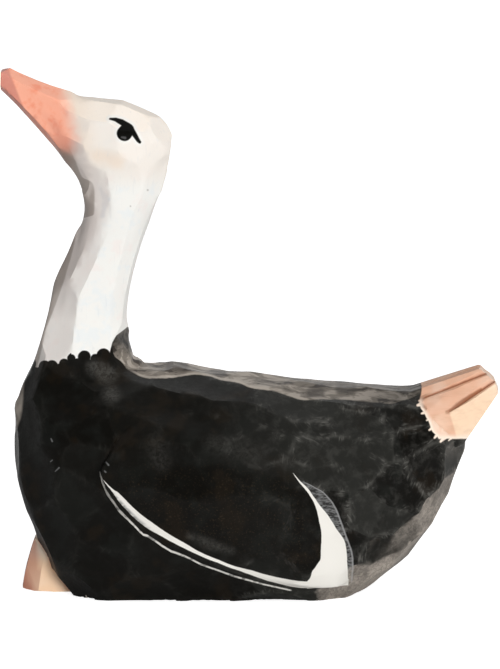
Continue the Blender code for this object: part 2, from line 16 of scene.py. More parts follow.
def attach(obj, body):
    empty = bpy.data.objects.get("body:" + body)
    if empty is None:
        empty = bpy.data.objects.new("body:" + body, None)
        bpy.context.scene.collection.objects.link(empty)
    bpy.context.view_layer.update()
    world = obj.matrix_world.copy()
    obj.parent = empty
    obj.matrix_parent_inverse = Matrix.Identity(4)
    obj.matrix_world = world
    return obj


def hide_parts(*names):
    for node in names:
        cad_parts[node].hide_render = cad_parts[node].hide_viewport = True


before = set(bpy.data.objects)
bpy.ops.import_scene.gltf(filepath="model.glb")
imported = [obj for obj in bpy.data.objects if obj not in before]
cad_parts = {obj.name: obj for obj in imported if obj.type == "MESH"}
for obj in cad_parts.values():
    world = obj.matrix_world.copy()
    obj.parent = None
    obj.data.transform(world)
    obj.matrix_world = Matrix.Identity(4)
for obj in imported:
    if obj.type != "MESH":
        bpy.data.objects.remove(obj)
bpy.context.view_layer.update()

MM = 0.001
SIDE_TILT = math.radians(9.5)

# Carving: how far neighbouring facets turn where an edge counts as crisp, and steps along it in millimetres
CREASE_TURN = math.radians(11)
SMOOTH_TURN = math.radians(24)
RIDGE_TURN = math.radians(13)
GROOVE_TURN = math.radians(25)
RIDGE_STEP = 0.12
CUT_TURN = math.radians(8)
CUT_ROUNDS = 200
TONE_SEED = 5
CREASE = 0.75
MERGE_DISTANCE = 0.001 * MM

# Camera, floor and light
FLOOR_SIZE = 6.0
FLOOR_COLOUR = (0.78, 0.78, 0.78, 1.0)
FLOOR_GLOW = 0.82
PURE_WHITE = (1.0, 1.0, 1.0, 1.0)
LENS = 300.0
SENSOR = 36.0
VIEW_HEIGHT = 0.0831
AIM = Vector((-0.00012, 0.0, 0.0318))
SKY_LIGHT = 0.24
SKY_SIDE = 0.75
SKY_RISE = 1.50
FRONT_GLOSS = 0.07
KEY_POWER = 3.95
KEY_SIZE = 0.35
KEY_DISTANCE = 0.75
KEY_SIDE = Vector((0.28, -0.95, 0.14))
NEAREST_SEEN = 0.01

# How far the hand wanders at each kind of mark, in millimetres
EYE_HAND = 0.05
SPECK_HAND = 0.06
CLOSE_HAND = 0.10
LINE_HAND = 0.12
TAIL_HAND = 0.18
CREST_HAND = 0.20
BREAST_HAND = 0.30
BLEND_HAND = 0.70

# Square of the shortest dab that has a direction, in square millimetres
SHORTEST_DAB = 1e-6

# Gloss and relief of the brushwork
SHEEN = 0.16
PAINT_ROUGH = (0.38, 0.52)
WOOD_ROUGHER = 0.15
RELIEF = 0.06 * MM
RELIEF_STRENGTH = 0.25

# Black paint, its wear, and painted sheen and highlights on it, in linear light as all that follow
BLACK = (0.0040, 0.0036, 0.0026, 1.0)
BLACK_WARM = (0.0085, 0.0060, 0.0034, 1.0)
BLACK_COOL = (0.0062, 0.0066, 0.0054, 1.0)
BLACK_THIN = (0.0200, 0.0200, 0.0175, 1.0)
WEAR_AND_SHEEN_GREY = (0.120, 0.116, 0.105, 1.0)
SHEEN_GREY = (0.430, 0.380, 0.330, 1.0)
DRY_BRUSH_SHADE_AND_HIGHLIGHT_GREY = (0.200, 0.200, 0.200, 1.0)
RIM_GREY = (0.420, 0.420, 0.420, 1.0)
GRIT_BROWN = (0.060, 0.043, 0.024, 1.0)

# Painted sheen along the back: a grey-brown reflection with a painted highlight on its edge and painted shade in its
# hollows
CREST_SHEEN_BROWN = (0.205, 0.178, 0.148, 1.0)
CREST_SHEEN_LIGHT = (0.520, 0.460, 0.400, 1.0)
CREST_SHADE_BROWN = (0.040, 0.031, 0.026, 1.0)

# White paint on wing, neck and head, and the eye, with painted light on the crown and painted shade down the front
WHITE = (0.865, 0.853, 0.815, 1.0)
WING_WHITE = (0.815, 0.790, 0.735, 1.0)
WHITE_PINK = (0.870, 0.800, 0.760, 1.0)
WHITE_SHADE_ROSE = (0.810, 0.725, 0.680, 1.0)
WHITE_COOL = (0.800, 0.830, 0.830, 1.0)
HEAD_WHITE = (0.860, 0.795, 0.725, 1.0)
CROWN_LIT_WHITE = (1.000, 0.900, 0.790, 1.0)
STREAK_BLUE = (0.520, 0.570, 0.620, 1.0)
BEIGE = (0.860, 0.700, 0.560, 1.0)
FRONT_SHADE_GREY = (0.500, 0.460, 0.435, 1.0)
THROAT_SHADE_BROWN = (0.300, 0.250, 0.215, 1.0)
SPECK_GREY = (0.250, 0.220, 0.200, 1.0)
EYE_BLACK = (0.003, 0.003, 0.002, 1.0)

# Beak, with painted shade on its front faces, tip and jaw
SALMON = (0.980, 0.450, 0.310, 1.0)
SALMON_DEEP = (0.930, 0.290, 0.170, 1.0)
SALMON_SHADE = (0.780, 0.300, 0.215, 1.0)
TIP_SHADE_ROSE = (0.670, 0.265, 0.205, 1.0)

# Bare limewood, with painted shade on the tail's top, in its grooves and on faces turned to the beak
WOOD_SHADE_PINK = (0.800, 0.465, 0.315, 1.0)
WOOD_LIGHT = (0.950, 0.690, 0.485, 1.0)
WOOD_FOOT = (1.000, 0.690, 0.455, 1.0)
GRAIN_AND_GROOVE_SHADE_BROWN = (0.300, 0.115, 0.055, 1.0)
WOOD_FRONT_SHADE = (0.640, 0.255, 0.175, 1.0)
CREAM = (0.960, 0.830, 0.700, 1.0)


def select_only(item):
    bpy.ops.object.select_all(action="DESELECT")
    item.select_set(True)
    bpy.context.view_layer.objects.active = item


class Bench:
    """Puts nodes into one tree and wires them, so that a finish reads from top to bottom."""

    def __init__(self, tree):
        self.tree = tree

    def node(self, kind, values=None, **settings):
        made = self.tree.nodes.new("ShaderNode" + kind)
        for name, value in settings.items():
            setattr(made, name, value)
        for name, value in (values or {}).items():
            self.feed(made.inputs[name], value)
        return made

    def feed(self, socket, value):
        if isinstance(value, bpy.types.NodeSocket):
            self.tree.links.new(value, socket)
        else:
            socket.default_value = value

    def math(self, operation, *values):
        made = self.node("Math", operation=operation)
        for socket, value in zip(made.inputs, values):
            self.feed(socket, value)
        return made.outputs[0]

    def times(self, first, second):
        return self.math("MULTIPLY", first, second)

    def vector(self, operation, *values, output=0):
        made = self.node("VectorMath", operation=operation)
        sockets = (made.inputs[0], made.inputs["Scale"]) if operation == "SCALE" else made.inputs
        for socket, value in zip(sockets, values):
            self.feed(socket, value)
        return made.outputs[output]

    def join(self, x, y, z):
        return self.node("CombineXYZ", {"X": x, "Y": y, "Z": z}).outputs[0]

    def value(self, name):
        """A value that the mesh carries at its points."""
        return self.node("Attribute", attribute_name=name, attribute_type="GEOMETRY").outputs["Fac"]

    def split(self, vector):
        return self.node("SeparateXYZ", {"Vector": vector}).outputs

    def channels(self, colour):
        return self.node("SeparateColor", {"Color": colour}).outputs

    def smooth(self, value, low, high, to_low=0.0, to_high=1.0):
        ranges = {"Value": value, "From Min": low, "From Max": high, "To Min": to_low, "To Max": to_high}
        return self.node("MapRange", ranges, interpolation_type="SMOOTHSTEP", clamp=False).outputs[0]

    def mix(self, share, first, second):
        made = self.node("Mix", data_type="RGBA", clamp_factor=True)
        for socket, value in zip((made.inputs[0], made.inputs[6], made.inputs[7]), (share, first, second)):
            self.feed(socket, value)
        return made.outputs[2]

    def noise(self, place, size, detail=2.0, rough=0.5, twist=0.0, stretch=None):
        """Cloudy values from 0 to 1 with features of a size in millimetres, drawn out along one direction."""
        if stretch:
            place = self.vector("MULTIPLY", place, stretch)
        values = {"Vector": place, "Scale": 1.0 / size, "Detail": detail, "Roughness": rough, "Distortion": twist}
        return self.node("TexNoise", values).outputs["Fac"]

    def curve(self, value, points, sharp=False):
        """The height of a drawn line over a value: the line goes through points in millimetres."""
        low_x, high_x = points[0][0], points[-1][0]
        heights = [point[1] for point in points]
        low_y, high_y = min(heights), max(heights)
        ranges = {"Value": value, "From Min": low_x, "From Max": high_x}
        share = self.node("MapRange", ranges, clamp=False).outputs[0]
        made = self.node("FloatCurve", {"Value": share})
        line = made.mapping.curves[0]
        for index, (x, y) in enumerate(points):
            place = ((x - low_x) / (high_x - low_x), (y - low_y) / (high_y - low_y))
            if index == 0:
                line.points[0].location = place
            elif index == len(points) - 1:
                line.points[len(line.points) - 1].location = place
            else:
                line.points.new(*place)
        for point in line.points:
            point.handle_type = "VECTOR" if sharp else "AUTO_CLAMPED"
        made.mapping.extend = "HORIZONTAL"
        made.mapping.update()
        return self.math("MULTIPLY_ADD", made.outputs[0], high_y - low_y, low_y)


def new_group(name, inputs, outputs):
    group = bpy.data.node_groups.new(name, "ShaderNodeTree")
    for label, kind in inputs:
        group.interface.new_socket(label, in_out="INPUT", socket_type="NodeSocket" + kind)
    for label, kind in outputs:
        group.interface.new_socket(label, in_out="OUTPUT", socket_type="NodeSocket" + kind)
    bench = Bench(group)
    start = group.nodes.new("NodeGroupInput").outputs
    end = group.nodes.new("NodeGroupOutput").inputs
    return group, bench, start, end


def side_view_group():
    """Place on the skin in millimetres, and the same place on the side view, unsteady as a hand-held brush."""
    group, bench, given, made = new_group(
        "Side view", [("Unsteady", "Float")], [("Place", "Vector"), ("Flat", "Vector"), ("u", "Float"), ("v", "Float")]
    )
    metres = bench.node("TexCoord").outputs["Object"]
    place = bench.vector("SCALE", metres, 1.0 / MM)
    x, y, z = bench.split(place)
    lift = bench.times(bench.math("ABSOLUTE", y), -math.sin(SIDE_TILT))
    v = bench.math("MULTIPLY_ADD", z, math.cos(SIDE_TILT), lift)
    wander = bench.node("TexNoise", {"Vector": place, "Scale": 0.9, "Detail": 2.0}).outputs["Color"]
    off_u, off_v, _ = bench.channels(wander)
    u = bench.math("MULTIPLY_ADD", bench.math("SUBTRACT", off_u, 0.5), given["Unsteady"], x)
    v = bench.math("MULTIPLY_ADD", bench.math("SUBTRACT", off_v, 0.5), given["Unsteady"], v)
    flat = bench.join(u, v, 0.0)
    for name, value in (("Place", place), ("Flat", flat), ("u", u), ("v", v)):
        bench.feed(made[name], value)
    return group


def stroke_group():
    """Distance in millimetres beyond the edge of one tapered dab of the brush, negative inside it."""
    group, bench, given, made = new_group(
        "Brush dab",
        [("Flat", "Vector"), ("Start", "Vector"), ("End", "Vector"), ("Start half", "Float"), ("End half", "Float")],
        [("Distance", "Float")],
    )
    from_start = bench.vector("SUBTRACT", given["Flat"], given["Start"])
    along = bench.vector("SUBTRACT", given["End"], given["Start"])
    reach = bench.vector("DOT_PRODUCT", from_start, along, output=1)
    length = bench.math("MAXIMUM", bench.vector("DOT_PRODUCT", along, along, output=1), SHORTEST_DAB)
    share = bench.math("MINIMUM", bench.math("MAXIMUM", bench.math("DIVIDE", reach, length), 0.0), 1.0)
    away = bench.vector("SUBTRACT", from_start, bench.vector("SCALE", along, share))
    half = bench.math(
        "MULTIPLY_ADD", share, bench.math("SUBTRACT", given["End half"], given["Start half"]), given["Start half"]
    )
    bench.feed(made["Distance"], bench.math("SUBTRACT", bench.vector("LENGTH", away, output=1), half))
    return group


SIDE_VIEW = side_view_group()
BRUSH_DAB = stroke_group()


class Painter(Bench):
    """A bench for the bird's coat, which knows the side view and lays dabs and fields of paint on it."""

    def __init__(self, tree):
        super().__init__(tree)
        self.views = {}

    def view(self, unsteady):
        """The side view as seen by a hand that wanders so far, made once for each hand."""
        if unsteady not in self.views:
            made = self.node("Group", node_tree=SIDE_VIEW)
            made.inputs["Unsteady"].default_value = unsteady
            self.views[unsteady] = made.outputs
        return self.views[unsteady]

    def dabs(self, flat, rows):
        """Distance beyond the nearest of several rows of dabs, each row being points of u, v and half width."""
        nearest = None
        for row in rows:
            row = row if len(row) > 1 else row * 2
            for (u, v, half), (next_u, next_v, next_half) in zip(row, row[1:]):
                made = self.node("Group", node_tree=BRUSH_DAB)
                self.feed(made.inputs["Flat"], flat)
                made.inputs["Start"].default_value = (u, v, 0.0)
                made.inputs["End"].default_value = (next_u, next_v, 0.0)
                made.inputs["Start half"].default_value = half
                made.inputs["End half"].default_value = next_half
                found = made.outputs[0]
                nearest = found if nearest is None else self.math("MINIMUM", nearest, found)
        return nearest

    def lay(self, coat, colour, mask, share=None):
        """Colour laid over a coat where the mask is 1, as thickly as the share says."""
        if share is not None:
            mask = self.times(mask, share)
        return self.mix(mask, coat, colour)

    def inside(self, distance, soft=0.05):
        """1 inside an edge, 0 beyond it, with a soft step between."""
        return self.smooth(distance, soft, -soft)

    def between(self, value, low, high, soft=0.05):
        """1 where a value lies between two others, 0 beyond them."""
        above = self.smooth(self.math("SUBTRACT", value, low), -soft, soft)
        below = self.smooth(self.math("SUBTRACT", high, value), -soft, soft)
        return self.times(above, below)


def neck_line(paint):
    """1 on the black side of the neck's border: a slanting row of round dabs that ends in a nape point."""
    view = paint.view(LINE_HAND)
    border = paint.curve(
        view["u"],
        [
            (-29.5, 29.0),
            (-27.9, 28.2),
            (-27.0, 27.7),
            (-26.45, 27.3),
            (-26.2, 27.45),
            (-25.0, 27.7),
            (-23.9, 27.75),
            (-23.0, 28.0),
            (-21.4, 28.45),
            (-20.5, 28.55),
            (-19.57, 28.3),
            (-19.0, 28.5),
            (-17.40, 29.1),
            (-17.10, 30.0),
            (-16.60, 30.8),
            (-15.90, 31.5),
            (-15.10, 32.3),
            (-14.00, 32.6),
        ],
    )
    under = paint.math("SUBTRACT", view["v"], border)
    lobes = paint.dabs(
        view["Flat"],
        [
            [(-27.48, 27.74, 0.86)],
            [(-25.50, 27.37, 0.80)],
            [(-24.58, 27.43, 0.80)],
            [(-23.03, 27.68, 0.70)],
            [(-22.17, 28.42, 0.53)],
            [(-22.30, 28.80, 0.22), (-22.23, 29.00, 0.08)],
            [(-20.56, 28.60, 0.80)],
            [(-19.20, 28.36, 0.62)],
            [(-18.20, 28.79, 0.86)],
            [(-16.90, 28.90, 0.60), (-16.80, 30.20, 0.38), (-16.35, 31.00, 0.36), (-15.30, 32.20, 0.10)],
        ],
    )
    return paint.inside(paint.math("MINIMUM", under, lobes), 0.06)


def tail_half(paint, view):
    """1 on the tail's half of the bird, 0 on the half with the feet."""
    return paint.smooth(view["u"], 10.0, 12.0)


def bare_tail(paint):
    """1 where the tail is left as bare wood, to which the black paint ends in torn teeth, and 1 on its fringe."""
    view = paint.view(TAIL_HAND)
    front = paint.curve(
        view["v"],
        [
            (17.6, 24.6),
            (18.2, 23.5),
            (18.9, 22.9),
            (19.5, 22.35),
            (20.4, 22.05),
            (21.1, 21.7),
            (21.6, 21.45),
            (22.0, 21.2),
            (22.5, 20.9),
            (23.0, 20.85),
            (23.6, 21.0),
            (24.2, 21.1),
            (25.6, 21.3),
        ],
    )
    beyond = paint.math("SUBTRACT", front, view["u"])
    above = paint.math("SUBTRACT", 18.45, view["v"])
    field = paint.math("MAXIMUM", beyond, above)
    teeth = paint.dabs(
        view["Flat"],
        [
            [(21.3, 23.30, 0.24), (20.85, 23.15, 0.10)],
            [(21.3, 22.75, 0.34), (20.62, 22.60, 0.14)],
            [(21.6, 21.75, 0.24), (21.10, 21.62, 0.10)],
            [(22.1, 20.90, 0.16), (21.72, 20.75, 0.08)],
            [(22.5, 19.90, 0.24), (22.05, 19.55, 0.10)],
            [(23.2, 19.20, 0.28), (22.70, 18.62, 0.10)],
            [(24.2, 18.80, 0.32), (23.45, 18.15, 0.12)],
            [(24.9, 18.60, 0.16), (24.50, 18.22, 0.07)],
        ],
    )
    edge = paint.math("MINIMUM", field, teeth)
    fringe = paint.times(paint.smooth(edge, -0.75, -0.05), tail_half(paint, view))
    fringe = paint.times(fringe, paint.smooth(view["v"], 24.0, 22.6))
    return paint.inside(edge, 0.09), fringe


def crest_sheen_strip(paint):
    """1 on the strip of painted sheen that runs from the nape along the back, and 1 on its painted highlight along the
    lower edge.
    """
    view = paint.view(CREST_HAND)
    edge = paint.curve(
        view["u"],
        [
            (-17.30, 31.2),
            (-17.10, 29.7),
            (-16.90, 28.75),
            (-15.97, 27.96),
            (-15.34, 27.10),
            (-14.55, 26.62),
            (-13.29, 26.07),
            (-12.19, 25.94),
            (-10.14, 25.98),
            (-8.56, 26.15),
            (-6.99, 26.38),
            (-5.41, 26.22),
            (-3.84, 25.76),
            (-1.95, 25.48),
            (0.15, 24.76),
            (2.98, 24.34),
            (5.03, 23.63),
            (6.92, 23.27),
            (8.96, 23.37),
            (11.18, 23.30),
            (13.23, 23.15),
            (15.59, 22.95),
            (17.10, 22.80),
            (18.50, 23.10),
            (20.00, 23.55),
            (20.90, 24.00),
        ],
    )
    over = paint.math("SUBTRACT", view["v"], edge)
    along = paint.times(paint.smooth(view["v"], 30.6, 28.4, 0.20, 1.0), paint.smooth(view["u"], 21.1, 20.9))
    strip = paint.times(paint.smooth(over, -0.08, 0.10), along)
    # The rim is a painted highlight along the lower edge of the strip.
    rim = paint.smooth(paint.math("ABSOLUTE", paint.math("SUBTRACT", over, 0.16)), 0.20, 0.05)
    rim = paint.times(rim, paint.between(view["u"], -14.6, 0.5, 0.8))
    return strip, rim


def wing_band(paint, u, v):
    """1 on the white band along the wing's lower edge, and 1 on its shaded lower side near the shoulder."""
    centre = paint.curve(
        u,
        [
            (-18.3, 13.75),
            (-17.4, 12.75),
            (-16.8, 12.1),
            (-15.8, 11.0),
            (-13.85, 9.05),
            (-11.85, 7.6),
            (-9.9, 6.42),
            (-7.9, 5.32),
            (-5.95, 4.3),
            (-3.95, 3.47),
            (-2.0, 2.73),
            (0.0, 2.1),
            (2.0, 1.45),
            (3.95, 0.97),
            (5.9, 0.62),
            (7.9, 0.55),
            (12.1, 0.8),
        ],
    )
    half = paint.curve(
        u,
        [
            (-18.3, 0.02),
            (-17.2, 0.14),
            (-16.6, 0.32),
            (-15.5, 0.58),
            (-13.0, 0.56),
            (-10.9, 0.43),
            (-8.0, 0.32),
            (-5.5, 0.21),
            (-2.5, 0.19),
            (0.0, 0.30),
            (3.0, 0.38),
            (6.0, 0.42),
            (12.1, 0.42),
        ],
    )
    off = paint.math("SUBTRACT", v, centre)
    band = paint.inside(paint.math("SUBTRACT", paint.math("ABSOLUTE", off), half), 0.05)
    band = paint.times(band, paint.between(u, -18.3, 12.03))
    return band, paint.times(paint.smooth(off, 0.1, -0.5), paint.smooth(u, -11.0, -14.5))


def wing_rear(paint, u, v):
    """1 on the white at the wing's rear end, and the lines where it and the dry-brushed strip behind it end."""
    rear_left = paint.curve(
        v,
        [
            (1.0, 6.9),
            (1.6, 7.35),
            (2.2, 7.5),
            (2.7, 7.85),
            (3.3, 8.25),
            (3.9, 8.56),
            (5.1, 8.62),
            (6.2, 8.66),
            (7.25, 8.6),
            (8.3, 8.4),
            (9.4, 8.18),
            (10.45, 7.85),
            (11.5, 7.28),
            (12.55, 6.5),
            (13.5, 5.75),
            (14.4, 5.1),
        ],
    )
    rear_right = paint.curve(
        v,
        [
            (0.3, 12.03),
            (3.0, 11.87),
            (5.1, 11.7),
            (6.0, 11.5),
            (6.6, 11.15),
            (7.25, 10.65),
            (8.3, 10.0),
            (9.4, 9.25),
            (10.45, 8.4),
            (11.45, 7.7),
            (12.55, 6.9),
            (13.5, 5.95),
            (14.4, 5.12),
        ],
    )
    outer = paint.curve(
        v,
        [
            (0.6, 12.4),
            (3.0, 12.55),
            (4.7, 12.34),
            (6.4, 11.75),
            (7.25, 11.45),
            (8.3, 11.05),
            (9.4, 10.65),
            (10.0, 10.4),
            (10.8, 9.9),
            (11.9, 8.95),
            (12.7, 7.6),
            (13.3, 6.5),
        ],
    )
    floor_line = paint.math("MULTIPLY_ADD", u, 0.068, -0.39)
    rear = paint.between(u, rear_left, rear_right)
    return paint.times(rear, paint.between(v, floor_line, 14.35)), rear_right, outer


def thin_outer_line(paint, view):
    """1 on the thin broken white line outside the band."""
    u, v = view["u"], view["v"]
    thin_line = paint.curve(
        u,
        [
            (-18.5, 14.2),
            (-18.35, 13.6),
            (-17.7, 12.0),
            (-16.8, 10.7),
            (-16.15, 9.75),
            (-14.8, 8.4),
            (-13.2, 6.8),
            (-12.75, 6.68),
            (-10.9, 5.45),
            (-9.8, 4.75),
            (-9.3, 4.62),
            (-7.9, 4.05),
            (-6.2, 3.15),
            (-4.0, 2.36),
            (-2.0, 1.62),
            (1.5, 0.63),
            (4.9, -0.15),
        ],
        sharp=True,
    )
    thin = paint.math("ABSOLUTE", paint.math("SUBTRACT", v, thin_line))
    slope = paint.curve(u, [(-18.5, 0.34), (-16.5, 0.22), (-13.0, 0.15), (-9.0, 0.13), (4.9, 0.09)])
    thin = paint.inside(paint.math("SUBTRACT", thin, slope), 0.05)
    thin = paint.times(thin, paint.between(u, -18.45, 4.9, 0.2))
    broken = paint.noise(view["Place"], 0.9, 3.0)
    return paint.times(thin, paint.smooth(broken, 0.36, 0.52, 0.35, 1.0))


def wing_whites(paint):
    """Masks of the wing's white, its shaded side, the thin outer line, and the strip behind it with its rim."""
    view = paint.view(LINE_HAND)
    u, v = view["u"], view["v"]
    band, shade = wing_band(paint, u, v)
    rear, rear_right, outer = wing_rear(paint, u, v)
    white = paint.math("MAXIMUM", band, rear)
    thin = thin_outer_line(paint, view)
    strip = paint.times(paint.between(u, rear_right, outer), paint.between(v, 2.2, 13.3, 0.6))
    rim = paint.math("ABSOLUTE", paint.math("SUBTRACT", u, outer))
    rim = paint.times(paint.smooth(rim, 0.16, 0.04), paint.between(v, 0.8, 13.2, 0.4))
    return white, shade, thin, strip, rim


def eye_marks(paint):
    """Masks of the painted eye: lid and pupil in one dark shape, the bright ring round it, a dull spot of light."""
    flat = paint.view(EYE_HAND)["Flat"]
    dark = paint.dabs(
        flat,
        [
            [
                (-17.28, 57.82, 0.14),
                (-16.60, 57.74, 0.26),
                (-15.87, 57.42, 0.38),
                (-15.15, 56.98, 0.42),
                (-14.62, 56.38, 0.38),
                (-14.18, 55.72, 0.30),
                (-13.84, 55.18, 0.25),
                (-13.66, 54.98, 0.20),
            ],
            [(-15.52, 56.02, 0.94), (-15.22, 56.42, 0.92)],
        ],
    )
    spot = paint.dabs(flat, [[(-15.85, 55.55, 0.10), (-15.45, 55.48, 0.16)]])
    return paint.inside(dark, 0.07), paint.smooth(dark, 0.55, 0.15), paint.inside(spot, 0.09)


def bare_wood(paint, place, facing):
    """Pale limewood with its grain along the bird and cream clouds; painted shade in pink on the tail's top and root,
    in brown in the grooves and on faces turned toward the beak; painted light in cream on the top of the feet and on
    the tail's end faces.
    """
    grain = paint.noise(place, 1.0, 4.0, 0.6, stretch=(0.25, 1.6, 1.6))
    cloud = paint.noise(place, 4.0, 2.0)
    view = paint.view(CLOSE_HAND)
    flank = paint.curve(
        view["u"], [(19.0, 20.4), (21.4, 20.9), (24.3, 21.75), (27.1, 23.4), (30.3, 25.3), (31.5, 26.0)]
    )
    top = paint.smooth(paint.math("SUBTRACT", view["v"], flank), -0.12, 0.12)
    root = paint.math("MULTIPLY_ADD", paint.math("SUBTRACT", view["v"], 21.6), -0.30, 24.6)
    root = paint.smooth(paint.math("SUBTRACT", view["u"], root), 0.15, -0.15, 0.0, 0.8)
    on_tail = tail_half(paint, view)
    wood = paint.mix(on_tail, WOOD_FOOT, WOOD_LIGHT)
    # Painted shade: darker pink on the tail's top facets and at its root.
    wood = paint.lay(wood, WOOD_SHADE_PINK, paint.math("MAXIMUM", top, root), on_tail)
    wood = paint.lay(wood, CREAM, paint.smooth(cloud, 0.40, 0.70, 0.0, 0.25))
    # Painted light: cream on the top of the block of feet, where the breast shades it.
    foot_top = paint.math("SUBTRACT", paint.smooth(view["v"], 2.6, 4.6), on_tail)
    wood = paint.lay(wood, CREAM, foot_top, 0.70)
    # Painted shade: brown on faces turned toward the beak.
    wood = paint.lay(wood, WOOD_FRONT_SHADE, paint.smooth(facing[0], -0.45, -0.80, 0.0, 0.90))
    wood = paint.lay(wood, GRAIN_AND_GROOVE_SHADE_BROWN, paint.smooth(grain, 0.40, 0.75, 0.0, 0.14), on_tail)
    # Painted shade: dark brown along the grooves of the tail.
    from_groove = paint.math("MULTIPLY_ADD", paint.noise(place, 0.8, 2.0), 0.16, paint.value("from_groove"))
    groove = paint.smooth(from_groove, 0.46, 0.12)
    wood = paint.lay(wood, GRAIN_AND_GROOVE_SHADE_BROWN, groove, paint.smooth(view["v"], 20.8, 22.6, 0.1, 0.9))
    # Painted shadow: a dark wedge of brown along the tail's second groove.
    deep = paint.dabs(
        view["Flat"], [[(24.6, 21.95, 0.06), (25.6, 22.65, 0.22), (26.4, 23.2, 0.24), (28.5, 24.6, 0.06)]]
    )
    wood = paint.lay(wood, GRAIN_AND_GROOVE_SHADE_BROWN, paint.smooth(deep, 0.22, -0.10, 0.0, 0.85))
    # Painted light: cream on the tail's faces turned toward its end.
    end = paint.times(paint.smooth(facing[0], 0.45, 0.80), on_tail)
    return paint.lay(wood, CREAM, end, 0.75)


def brush_hairs(paint, place):
    """Fine marks of a dry brush, which lie another way in each patch of the coat."""
    patch = paint.node("TexVoronoi", {"Vector": place, "Scale": 0.42}).outputs["Color"]
    turn = paint.times(paint.channels(patch)[0], math.tau)
    turned = paint.node("VectorRotate", {"Vector": place, "Angle": turn}, rotation_type="Y_AXIS").outputs[0]
    return paint.smooth(paint.noise(turned, 0.30, 2.0, 0.5, 0.3, stretch=(0.16, 0.5, 1.0)), 0.50, 0.68)


def wing_and_wear(paint, u):
    """Distance in millimetres beyond the middle of the wing, and how much the paint of each place is worn."""
    rump = paint.smooth(u, -8.0, 10.0, 0.12, 1.0)
    wing = paint.dabs(
        paint.view(LINE_HAND)["Flat"], [[(-13.0, 12.0, 3.5), (-6.0, 10.5, 5.0), (2.0, 9.0, 5.5), (5.5, 4.5, 3.0)]]
    )
    return wing, paint.times(rump, paint.smooth(wing, 1.5, -1.0, 1.0, 0.25))


def worn_through(paint, black, place, clouds, wear):
    """Grey that shows where the black is thin: cut by cut, in smoke, and in wisps along the ridges."""
    thin = paint.smooth(paint.math("MULTIPLY_ADD", clouds, 0.9, paint.value("cut_tone")), 0.55, 1.35)
    black = paint.lay(black, BLACK_THIN, thin, wear)
    smoke = paint.smooth(paint.noise(place, 1.5, 5.0, 0.7, 0.4), 0.44, 0.68, 0.0, 0.16)
    black = paint.lay(black, WEAR_AND_SHEEN_GREY, smoke, wear)

    patchy = paint.smooth(paint.noise(place, 3.0, 3.0, 0.65), 0.40, 0.62, 0.10, 1.0)
    shaky = paint.math("MULTIPLY_ADD", paint.noise(place, 0.8, 3.0, 0.65), 0.9, -0.45)
    from_ridge = paint.math("ABSOLUTE", paint.math("ADD", paint.value("from_ridge"), shaky))
    haze = paint.smooth(from_ridge, 1.00, 0.05)
    near = paint.math("MULTIPLY_ADD", shaky, 0.30, paint.value("from_ridge"))
    wisp = paint.times(paint.smooth(near, 0.42, 0.02), 0.42)
    wisp = paint.math("MAXIMUM", wisp, paint.times(haze, brush_hairs(paint, place)))
    wisp = paint.times(paint.math("MULTIPLY_ADD", haze, 0.10, wisp), patchy)
    return paint.lay(black, WEAR_AND_SHEEN_GREY, paint.times(wisp, wear), 0.75)


def sheen_on_edges(paint, black, facing, u, clouds, brushed):
    """Painted sheen in grey on the rump's faces that turn down and back, and a painted reflection down the front edge
    of the breast.
    """
    # Painted sheen on the faces turned down and back round the rump.
    under = paint.math("MULTIPLY_ADD", facing[0], 0.55, paint.times(facing[2], -0.80))
    under = paint.times(under, paint.smooth(facing[0], 0.02, 0.25))
    under = paint.times(paint.smooth(under, 0.42, 0.74), paint.smooth(clouds, 0.36, 0.56, 0.5, 1.0))
    under = paint.times(under, paint.smooth(brushed, 0.35, 0.65, 0.55, 1.0))
    black = paint.lay(black, SHEEN_GREY, under)
    # Painted reflection: a grey strip down the front edge of the breast.
    height = paint.view(BREAST_HAND)["v"]
    front = paint.curve(height, [(19.4, -29.1), (22.2, -28.25), (26.0, -28.1)])
    breast = paint.math("SUBTRACT", front, u)
    breast = paint.times(paint.smooth(breast, -0.1, 0.3), paint.between(height, 19.6, 26.2, 0.6))
    breast = paint.times(breast, paint.smooth(clouds, 0.36, 0.56, 0.45, 1.0))
    return paint.lay(black, SHEEN_GREY, breast, 0.85)


def painted_crest_sheen(paint, black, place, u):
    """Painted sheen along the back, mottled brown and grey, with painted shade in its hollows and a painted highlight
    along its lower edge.
    """
    strip, rim = crest_sheen_strip(paint)
    mottle = paint.noise(place, 1.5, 3.0, 0.6, 0.5, stretch=(0.45, 1.0, 1.0))
    crest_sheen = paint.mix(paint.smooth(mottle, 0.49, 0.60, 0.0, 0.65), CREST_SHEEN_BROWN, CREST_SHEEN_LIGHT)
    crest_sheen = paint.lay(crest_sheen, CREST_SHADE_BROWN, paint.smooth(mottle, 0.46, 0.38, 0.0, 0.90))
    hollows = paint.dabs(
        paint.view(CREST_HAND)["Flat"],
        [
            [(-10.2, 27.25, 0.30), (-8.3, 27.15, 0.40)],
            [(-5.2, 27.00, 0.25), (-3.6, 26.65, 0.45)],
            [(7.4, 24.15, 0.45), (8.6, 24.20, 0.45)],
            [(11.0, 24.60, 0.45), (12.6, 24.55, 0.45)],
        ],
    )
    # Painted shade in the hollows of the strip.
    crest_sheen = paint.lay(crest_sheen, CREST_SHADE_BROWN, paint.smooth(hollows, 0.40, -0.25, 0.0, 0.70))
    fading = paint.times(paint.smooth(u, 1.0, 9.0, 0.98, 0.75), paint.smooth(u, 12.0, 18.5, 1.0, 0.60))
    # The strip is laid as painted sheen, fading towards the tail, and its rim as a painted highlight.
    black = paint.lay(black, crest_sheen, strip, fading)
    return paint.lay(black, CREST_SHEEN_LIGHT, rim, 0.60)


